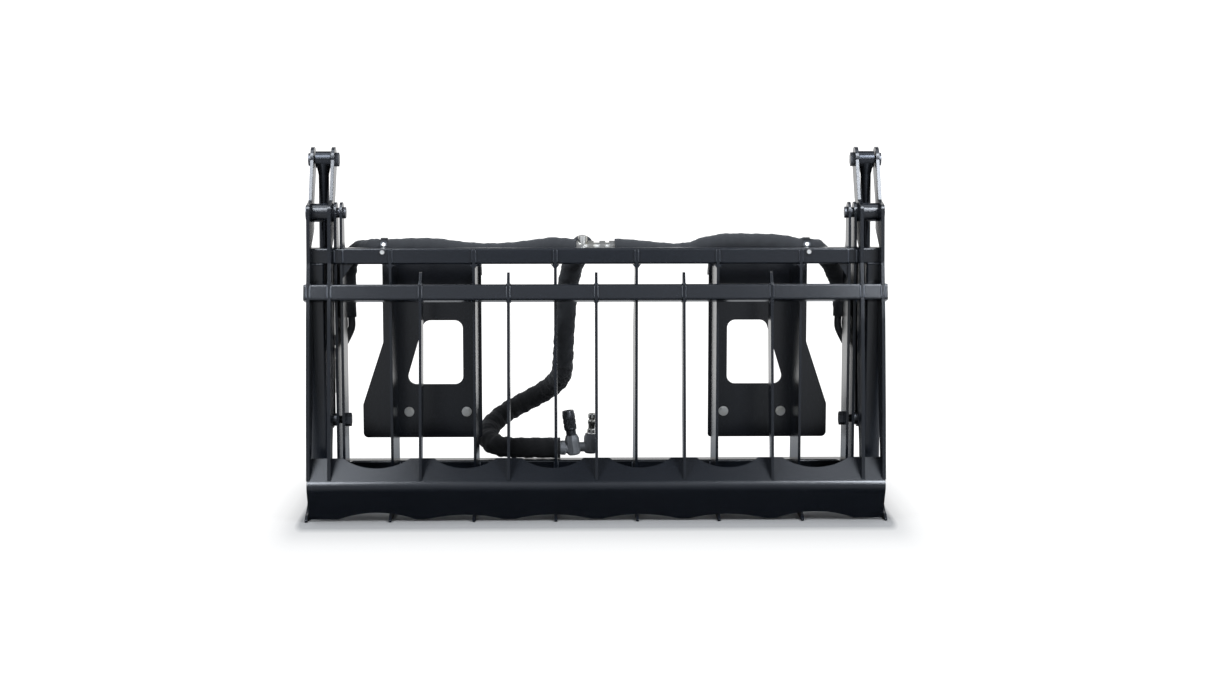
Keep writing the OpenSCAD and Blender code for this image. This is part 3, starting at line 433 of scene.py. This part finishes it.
coat = powderCoat("powderCoatFrame", (0.0022, 0.0030, 0.0046), 0.19)
coatJaw = powderCoat("powderCoatJaw", (0.0020, 0.0026, 0.0038), 0.17)
coatPlate = powderCoat("powderCoatCoupler", (0.0020, 0.0025, 0.0037), 0.17)
coatBarrel = powderCoat("powderCoatBarrel", (0.0040, 0.0045, 0.0060), 0.18)
zinc = machinedSteel("zincPlate", (0.62, 0.61, 0.58), 0.26, tint=(0.50, 0.48, 0.42))
darkSteel = machinedSteel("darkPinSteel", (0.075, 0.077, 0.083), 0.30, 0.85)
# the rod: near-black steel, much darker than chrome
darkRod = machinedSteel("darkRodSteel", (0.030, 0.032, 0.036), 0.16, 0.9, (0.022, 0.024, 0.028))
castGrey = machinedSteel("castGreyFitting", (0.190, 0.195, 0.202), 0.50, 0.35)
clampSteel = clampBand("clampBand")
capPlastic = grainy("capPlastic", **blackRubber)
cloth = wovenCloth("wovenSleeve")
rubber = grainy("hoseRubber", **blackRubber)
# the beads get a lighter tone than the coat they share: painted light
weldCoatLit = grainy("weldBead", **beadLitCoat)

finishes = {
    "powder_coat_black": coat, "cap_plastic": capPlastic, "zinc_steel": zinc,
    "dark_pin_steel": darkSteel, "rod_chrome": darkRod, "woven_sleeve": cloth, "hose_rubber": rubber,
}
slots = {part["node"]: part["material_slot"] for part in frame["record"]["subparts"]}
for node, made in frame["nodes"].items():
    finish = finishes[slots[node]]
    if node.startswith("jaw_") and slots[node] == "powder_coat_black":
        finish = coatJaw
    if node.startswith(("coupler_plate", "latch_angle")):
        finish = coatPlate
    if node.startswith(("barrel", "port_block")):
        finish = coatBarrel
    if node == "hose_clamps":
        finish = clampSteel
    made.data.materials.clear()
    made.data.materials.append(finish)
print("materials on the frame")


# surfaces carried along a path


def smoothPath(points, step):
    # Catmull-Rom through the route's points, then evenly spaced by length
    p = np.asarray(points, float)
    p = np.vstack([2 * p[0] - p[1], p, 2 * p[-1] - p[-2]])
    t = np.linspace(0, 1, 24, endpoint=False)[None, :, None]
    a, b, c, d = (p[i:len(p) - 3 + i][:, None, :] for i in range(4))
    curve = 0.5 * (2 * b + (c - a) * t + (2 * a - 5 * b + 4 * c - d) * t ** 2
                   + (3 * b - a - 3 * c + d) * t ** 3)
    curve = np.vstack([curve.reshape(-1, 3), p[-2]])
    reach = np.concatenate([[0], np.cumsum(np.linalg.norm(np.diff(curve, axis=0), axis=1))])
    count = max(int(round(reach[-1] / step)), 8) + 1
    even = np.linspace(0, reach[-1], count)
    return np.stack([np.interp(even, reach, curve[:, i]) for i in range(3)], 1), even


def carriedFrames(path):
    # tangents by differences, and a side direction turned as little as possible from ring to ring
    tangent = np.gradient(path, axis=0)
    tangent /= np.linalg.norm(tangent, axis=1)[:, None]
    side = np.zeros_like(path)
    start = np.array([0.0, 1.0, 0.0]) if abs(tangent[0][1]) < 0.9 else np.array([1.0, 0.0, 0.0])
    for i, t in enumerate(tangent):
        start = start - t * (start @ t)
        start = start / np.linalg.norm(start)
        side[i] = start
    return tangent, side, np.cross(tangent, side)


def gridMesh(name, rings, uv=None):
    # rings joined by quads, smooth, and a fan on its middle point closes each end
    rows, cols = rings.shape[:2]
    r, c = np.arange(rows - 1)[:, None], np.arange(cols)[None, :]
    low, high = r * cols, (r + 1) * cols
    following = (c + 1) % cols
    quads = np.stack([low + c, low + following, high + following, high + c], -1).reshape(-1, 4)
    k = np.arange(cols)
    start, end = k, (rows - 1) * cols + k
    fans = [np.stack([np.roll(start, -1), start, np.full(cols, rows * cols)], 1),
            np.stack([end, np.roll(end, -1), np.full(cols, rows * cols + 1)], 1)]
    points = np.vstack([rings.reshape(-1, 3), rings[0].mean(0), rings[-1].mean(0)])
    mesh = bpy.data.meshes.new(name)
    mesh.from_pydata(points.tolist(), [], quads.tolist() + np.vstack(fans).tolist())
    mesh.update()
    mesh.polygons.foreach_set("use_smooth", np.ones(len(mesh.polygons), bool))
    if uv is not None:
        index = np.zeros(len(mesh.loops), int)
        mesh.loops.foreach_get("vertex_index", index)
        places = uv.reshape(-1, 2)
        values = np.vstack([places, places[:1], places[:1]])[index]
        # the quads that close the rings take the map's far edge in place of its start
        around, step = uv[..., 1].max(), uv[0, 1, 1]
        corners = values[:quads.size, 1].reshape(-1, 4)
        wrapped = np.ptp(corners, axis=1) > around / 2
        corners[wrapped] += np.where(corners[wrapped] < around / 2, around + step, 0)
        values[:quads.size, 1] = corners.ravel()
        mesh.uv_layers.new(name="weave").data.foreach_set("uv", values.astype(np.float32).ravel())
    made = bpy.data.objects.new(name, mesh)
    bpy.context.collection.objects.link(made)
    return made


def waves(table, angle, s):
    # the sum of height * sin(turns * angle + pace * s + shift) over the table's rows
    return sum(height * np.sin(turns * angle + pace * s + shift) for height, turns, pace, shift in table)


# the sleeves' folds: waves as (height, turns, pace, shift), and shares of the creases' length and height
sleeveFolds = dict(wander=((1.7, 1, 9, 0.0), (0.9, 2, -21, 1.3)),
                   lumps=((0.5, 2, 13, 0.0), (0.35, -1, 31, 2.0), (0.3, 3, 5, 0.0)),
                   fineLength=0.43, fineHeight=0.5, fineWander=1.6, plainEnd=0.03,
                   straight=0.45, perBend=0.06, mostBend=1.1, bendRings=9, step=0.004)


def sleeveSurface(name, route, look):
    # ring = path + (across * cos + upright * sin) * (radius + folds)
    # folds: shallow ring creases whose phase wanders round the sleeve, deeper at the bends, and soft lumps
    folds = sleeveFolds
    path, reach = smoothPath(route, folds["step"])
    tangent, across, upright = carriedFrames(path)
    angle = np.linspace(0, 2 * np.pi, look["sides"], endpoint=False)[None, :]
    s = reach[:, None]
    bend = np.linalg.norm(np.gradient(tangent, axis=0), axis=1) / np.gradient(reach)
    bend = np.convolve(bend, np.ones(folds["bendRings"]) / folds["bendRings"], "same")[:, None]
    wander = waves(folds["wander"], angle, s)
    turn = 2 * np.pi * s / look["crease"]
    creases = (np.sin(turn + wander)
               + folds["fineHeight"] * np.sin(turn / folds["fineLength"] - folds["fineWander"] * wander))
    depth = look["folds"] * (folds["straight"] + np.minimum(bend * folds["perBend"], folds["mostBend"]))
    ends = np.clip(np.minimum(s, reach[-1] - s) / folds["plainEnd"], 0, 1)
    radius = look["radius"] + ends * (depth * creases + look["lumps"] * waves(folds["lumps"], angle, s))
    ring = (path[:, None] + across[:, None] * (np.cos(angle) * radius)[..., None]
            + upright[:, None] * (np.sin(angle) * radius)[..., None])
    # the cloth's map is in millimetres
    around = np.broadcast_to(angle * look["radius"] * 1000, ring.shape[:2])
    along = np.broadcast_to(s * 1000, ring.shape[:2])
    made = gridMesh(name, ring, np.stack([along, around], -1))
    made.data.materials.append(cloth)
    return made, path, float(reach[-1])


def turnedPart(name, base, axis, profile, material, sides=32, flutes=None, sharpFrom=32):
    # profile of (height, radius) pairs carried round the axis; grooves cut depth * (0.5 + 0.5 * cos) off the
    # radius between two heights; edges that turn by more than sharpFrom degrees stay sharp
    axis = np.asarray(axis, float) / np.linalg.norm(axis)
    side = np.cross(axis, [0, 1, 0] if abs(axis[1]) < 0.9 else [1, 0, 0])
    side /= np.linalg.norm(side)
    third = np.cross(axis, side)
    h, r = (np.array(column)[:, None] for column in zip(*profile))
    angle = np.linspace(0, 2 * np.pi, sides, endpoint=False)[None, :]
    radius = np.broadcast_to(r, (len(h), sides)).copy()
    if flutes:
        inside = (h >= flutes["low"]) & (h <= flutes["high"])
        radius -= inside * flutes["depth"] * (0.5 + 0.5 * np.cos(flutes["count"] * angle))
    ring = (np.asarray(base)[None, None] + axis * h[..., None] + side * (radius * np.cos(angle))[..., None]
            + third * (radius * np.sin(angle))[..., None])
    made = gridMesh(name, ring)
    made.data.materials.append(material)
    made.data.set_sharp_from_angle(angle=math.radians(sharpFrom))
    return made


def joined(name, parts):
    # several pieces made one, with the first one's material slots kept in order
    for other in bpy.context.selected_objects:
        other.select_set(False)
    for part in parts:
        part.select_set(True)
    bpy.context.view_layer.objects.active = parts[0]
    bpy.ops.object.join()
    parts[0].name = parts[0].data.name = name
    return parts[0]


# the free hose and its couplers

freeHose = dict(radius=0.0255, folds=0.0011, lumps=0.0009, crease=0.034, sides=56)
tee = dict(x=-0.031, z=topZ - 0.002)
bottomTubeTop, hoseRadius, hoseLift = 0.098, 0.026, 0.0004
dropZ = bottomTubeTop + hoseRadius + hoseLift
dropRoute = [(tee["x"], 0.032, tee["z"]), (tee["x"], 0.044, tee["z"]),
             (-0.033, 0.068, 0.63), (-0.039, 0.094, 0.618), (-0.05, 0.116, 0.592), (-0.062, 0.131, 0.552),
             (-0.069, 0.139, 0.505), (-0.073, 0.142, 0.455), (-0.076, 0.145, 0.405), (-0.078, 0.153, 0.362),
             (-0.08, 0.171, 0.33), (-0.082, 0.196, 0.308), (-0.087, 0.223, 0.29), (-0.099, 0.249, 0.271),
             (-0.12, 0.27, 0.251), (-0.149, 0.284, 0.232), (-0.182, 0.29, 0.214), (-0.214, 0.285, 0.197),
             (-0.242, 0.266, 0.18), (-0.261, 0.237, 0.164), (-0.268, 0.205, 0.149), (-0.262, 0.177, 0.137),
             (-0.245, 0.156, 0.129), (-0.22, 0.144, 0.1256), (-0.194, 0.139, 0.1246),
             (-0.168, 0.138, dropZ), (-0.140, 0.138, dropZ), (-0.112, 0.138, dropZ), (-0.086, 0.138, dropZ)]
dropSleeve, dropPath, dropLength = sleeveSurface("free_hose_sleeve", dropRoute, freeHose)
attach(dropSleeve, "frame")
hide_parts("drop_hose")

# profiles are (height, radius) pairs, and the heads lean in degrees
fitting = dict(neck=[(0, 0.0), (0, 0.0150), (0.004, 0.0160), (0.012, 0.0160), (0.014, 0.012)],
               elbow=[(-0.0155, 0.0), (-0.0155, 0.0130), (-0.011, 0.0168), (0.016, 0.0176), (0.026, 0.0176),
                      (0.031, 0.0150), (0.034, 0.0150), (0.034, 0.0)],
               elbowSides=8, headSides=72)
femaleHead = dict(
    place=(-0.054, 0.128, dropZ), lean=-8, flutes=dict(count=24, depth=0.0011, low=0.0535, high=0.086),
    profile=[(0.020, 0.0), (0.020, 0.0125), (0.046, 0.0125), (0.048, 0.0150), (0.051, 0.0155),
             (0.053, 0.0150), (0.0535, 0.0160), (0.060, 0.0160), (0.0605, 0.0150), (0.0635, 0.0150),
             (0.064, 0.0160), (0.072, 0.0160), (0.0725, 0.0150), (0.0755, 0.0150), (0.076, 0.0160),
             (0.086, 0.0160), (0.088, 0.0150), (0.092, 0.0148), (0.0955, 0.0140), (0.096, 0.0100),
             (0.090, 0.0090), (0.090, 0.0)])
maleHead = dict(
    place=(-0.011, 0.151, dropZ), lean=3, flutes=None,
    profile=[(0.020, 0.0), (0.020, 0.0130), (0.034, 0.0130), (0.036, 0.0110), (0.044, 0.0105),
             (0.046, 0.0085), (0.056, 0.0085), (0.060, 0.0104), (0.0655, 0.0104), (0.068, 0.0082),
             (0.0715, 0.0082), (0.074, 0.0104), (0.082, 0.0100), (0.084, 0.0085), (0.084, 0.0062),
             (0.078, 0.0058), (0.078, 0.0)])


def quickCoupler(name, node, head, material):
    # a grey swivel elbow on a neck along +X from the sleeve's end, and the turned coupler on it
    turn = math.radians(head["lean"])
    axis = (math.sin(turn), 0, math.cos(turn))
    x, y, z = head["place"]
    neckStart = dropRoute[-1][0]
    neckRadius = fitting["neck"][-1][1]
    neckProfile = fitting["neck"] + [(x - neckStart, neckRadius), (x - neckStart, 0.0)]
    neck = turnedPart(name + "Neck", (neckStart, y, z), (1, 0, 0), neckProfile, castGrey)
    elbow = turnedPart(name + "Elbow", head["place"], axis, fitting["elbow"], castGrey,
                       fitting["elbowSides"])
    top = turnedPart(name + "Head", head["place"], axis, head["profile"], material, fitting["headSides"],
                     head["flutes"])
    made = joined(name, [top, neck, elbow])
    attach(made, "frame")
    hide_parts(node)
    return made


female = quickCoupler("coupler_female_dressed", "coupler_female", femaleHead, darkSteel)
male = quickCoupler("coupler_male_dressed", "coupler_male", maleHead, zinc)
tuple(dropRoute[0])
print("free hose and couplers made, length", round(dropLength, 3))


# the sleeves along the top tube and the bare hoses down to the cylinders, their routes in millimetres

runSleeve = dict(radius=0.0215, folds=0.0009, lumps=0.0007, crease=0.040, sides=48)
sleeveRadius, slip = 0.022, 0.002
sleeveY = faceY + tube + sleeveRadius + slip
runRight = [(46.2, 0, -2), (60, 0, -2), (110, 0, -6), (180, 0, -12), (222, 0, -10), (262, 0, 2),
            (310, 0, 10), (370, 0, 10), (430, 0, 8), (468, 0, 2), (488, 0, -2), (516, 0, -2),
            (534, 10, -9), (550, 24, -24), (566, 40, -44), (580, 54, -68), (590, 62, -94),
            (597, 66, -122), (600, 67, -150), (600, 67, -174)]
runLeft = [(46.2, 0, -2), (60, 0, -2), (100, 0, 2), (150, 0, -4), (200, 0, -10), (260, 0, -12),
           (320, 0, -8), (380, 0, -1), (440, 0, 0), (488, 0, -2), (518, 0, -2), (542, 14, -4),
           (562, 36, -8), (579, 54, -18), (592, 64, -38), (599, 67, -66), (600, 67, -102),
           (600, 67, -138), (600, 67, -174)]
cylinder = dict(x=0.6479, y=faceY + 0.068, z=0.218, lean=math.atan2(27, 623))
# a pair of hoses hangs from its sleeve's end and meets the barrel at its ports: shares of the way across,
# back and down from the sleeve, then shares of the way up from the ports
tailHose = dict(radius=0.0088, sides=20, step=0.006, apart=0.0092, tuck=0.012, port=(0.010, 0.050, 0.118),
                hangShares=((0, 0, 0), (0, 0, 0.2), (0.25, 0, 0.38), (0.6, 0.6, 0.56)),
                riseShares=(0.26, 0.12, 0), blendLift=0.01)
barrelUp = np.array([0, math.sin(cylinder["lean"]), math.cos(cylinder["lean"])])
barrelBack = np.array([0, math.cos(cylinder["lean"]), -math.sin(cylinder["lean"])])


def onCylinder(side, x, y, z):
    # a place in a cylinder's own frame, given in the object's: base + x outwards + y * back + z * up
    base = np.array([side * (cylinder["x"] + x), cylinder["y"], cylinder["z"]])
    return base + y * barrelBack + z * barrelUp


def bareHose(name, route):
    # a round tube: ring = path + radius * (across * cos + upright * sin)
    path, reach = smoothPath(route, tailHose["step"])
    tangent, across, upright = carriedFrames(path)
    angle = np.linspace(0, 2 * np.pi, tailHose["sides"], endpoint=False)[None, :, None]
    around = across[:, None] * np.cos(angle) + upright[:, None] * np.sin(angle)
    ring = path[:, None] + tailHose["radius"] * around
    made = gridMesh(name, ring)
    made.data.materials.append(rubber)
    return made


for side, word, run in ((1, "right", runRight), (-1, "left", runLeft)):
    route = [(side * x / 1000, sleeveY + y / 1000, tee["z"] + z / 1000) for x, y, z in run]
    made, path, length = sleeveSurface("sleeve_run_" + word, route, runSleeve)
    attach(made, "frame")
    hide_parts("sleeve_" + word)
    end = np.array(route[-1])
    pair = []
    for k in (-1, 1):
        portX, portY, portZ = tailHose["port"]
        port = onCylinder(side, k * portX, portY, portZ)
        top = end + (side * k * tailHose["apart"], 0, 0)
        across, back, drop = port[0] - end[0], port[1] - end[1], end[2] - port[2]
        hose = [top + (0, 0, tailHose["tuck"])]
        hose += [top + (a * across, b * back, -c * drop) for a, b, c in tailHose["hangShares"]]
        hose += [port + share * drop * barrelUp for share in tailHose["riseShares"]]
        pair.append(bareHose("tail_hose_" + word + str(k), hose))
    tails = joined("tail_hoses_dressed_" + word, pair)
    tuple(port + (0, 0, tailHose["blendLift"]))
    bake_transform(tails)
    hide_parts("tail_hoses_" + word)
print("sleeves and tail hoses made")


# weld beads

bead = dict(radius=0.0026, ripple=0.0026, rippleShare=0.10, step=0.0013, sides=8, tip=0.03, tipPower=12,
            wobble=0.0004, wobblePace=90)


def weldBead(a, b):
    # a straight bead from a to b: radius * (1 + 0.1 * ripple) with a ripple every 2.6 mm, thin at both ends
    a, b = np.array(a, float), np.array(b, float)
    length = np.linalg.norm(b - a)
    s = np.linspace(0, 1, max(int(length / bead["step"]), 8))
    path = a + (b - a) * s[:, None]
    direction = (b - a) / length
    side = np.cross(direction, [0, 0, 1] if abs(direction[2]) < 0.9 else [0, 1, 0])
    side /= np.linalg.norm(side)
    third = np.cross(direction, side)
    angle = np.linspace(0, 2 * np.pi, bead["sides"], endpoint=False)[None, :]
    tips = np.sqrt(np.clip(1 - (2 * np.abs(s - 0.5)) ** bead["tipPower"], bead["tip"], 1))
    ripple = 1 + bead["rippleShare"] * np.sin(2 * np.pi * s * length / bead["ripple"])
    size = (bead["radius"] * tips * ripple)[:, None]
    wobble = bead["wobble"] * np.sin(s * length * bead["wobblePace"])[:, None]
    return (path[:, None] + side * (np.cos(angle) * size + wobble)[..., None]
            + third * (np.sin(angle) * size)[..., None])


def weldPiece(name, beads, body):
    # all the beads of one body as one piece
    made = joined(name, [gridMesh(name + str(i), ring) for i, ring in enumerate(beads)])
    made.data.materials.append(weldCoatLit)
    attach(made, body)


frameWelds = dict(tines=(-0.4845, -0.288, -0.096, 0.096, 0.288, 0.4845), halfPlate=0.0032, upperInset=0.004,
                  lowerInset=0.003, heelY=faceY + 0.172, heelZ=(0.064, 0.094), sidePlates=(0.5965, 0.6165),
                  post=(0.6415, 0.6755), postY=faceY + 0.001)


def frontBead(x):
    # down the top tube's front face
    upper, lower = topZ - frameWelds["upperInset"], topZ - tube + frameWelds["lowerInset"]
    return weldBead((x, faceY, upper), (x, faceY, lower))


def acrossBead(x, z, inset):
    # from front to back along the top tube
    return weldBead((x, faceY + inset, z), (x, faceY + tube - inset, z))


frameBeads = []
for x in frameWelds["tines"]:
    for s in (-1, 1):
        edge = x + s * frameWelds["halfPlate"]
        frameBeads += [frontBead(edge), acrossBead(edge, topZ - tube, frameWelds["upperInset"])]
        frameBeads.append(weldBead(*[(edge, frameWelds["heelY"], z) for z in frameWelds["heelZ"]]))
for s in (-1, 1):
    for x in frameWelds["sidePlates"]:
        frameBeads += [frontBead(s * x), acrossBead(s * x, topZ, frameWelds["lowerInset"])]
    frameBeads.append(weldBead(*[(s * x, frameWelds["postY"], topZ - tube) for x in frameWelds["post"]]))
weldPiece("frame_welds", frameBeads, "frame")

jawTube = dict(y=faceY - 0.035, z=0.533, lean=math.radians(14))
jawWelds = dict(tinePitch=0.2055, halfPlate=0.0032, arms=(0.6194, 0.6274, 0.6684, 0.6764), corner=0.8)


def jawTubeCorner(x, p, q):
    # a place at x on the jaw tube: p back and q up from its middle, in half widths, turned by its lean
    c, s = math.cos(jawTube["lean"]), math.sin(jawTube["lean"])
    y, z = p * tube / 2, q * tube / 2
    return x, jawTube["y"] + y * c + z * s, jawTube["z"] - y * s + z * c


def jawTubeBeads(x, walls):
    # one bead across each of the first walls in turn: the front, the top and the underside
    r = jawWelds["corner"]
    across = [((-1, -r), (-1, r)), ((-r, 1), (r, 1)), ((-r, -1), (r, -1))]
    return [weldBead(jawTubeCorner(x, *a), jawTubeCorner(x, *b)) for a, b in across[:walls]]


jawBeads = []
for i in range(-2, 3):
    for s in (-1, 1):
        jawBeads += jawTubeBeads(i * jawWelds["tinePitch"] + s * jawWelds["halfPlate"], 3)
for s in (-1, 1):
    for x in jawWelds["arms"]:
        jawBeads += jawTubeBeads(s * x, 2)
weldPiece("jaw_welds", jawBeads, "jaw")
print("weld beads made")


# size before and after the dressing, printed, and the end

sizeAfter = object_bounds()


def plain(value):
    if isinstance(value, dict):
        return {k: plain(v) for k, v in value.items()}
    return np.array(value, float).tolist()


{"cad": plain(sizeBefore), "visual": plain(sizeAfter)}
print("size", plain(sizeBefore), plain(sizeAfter))
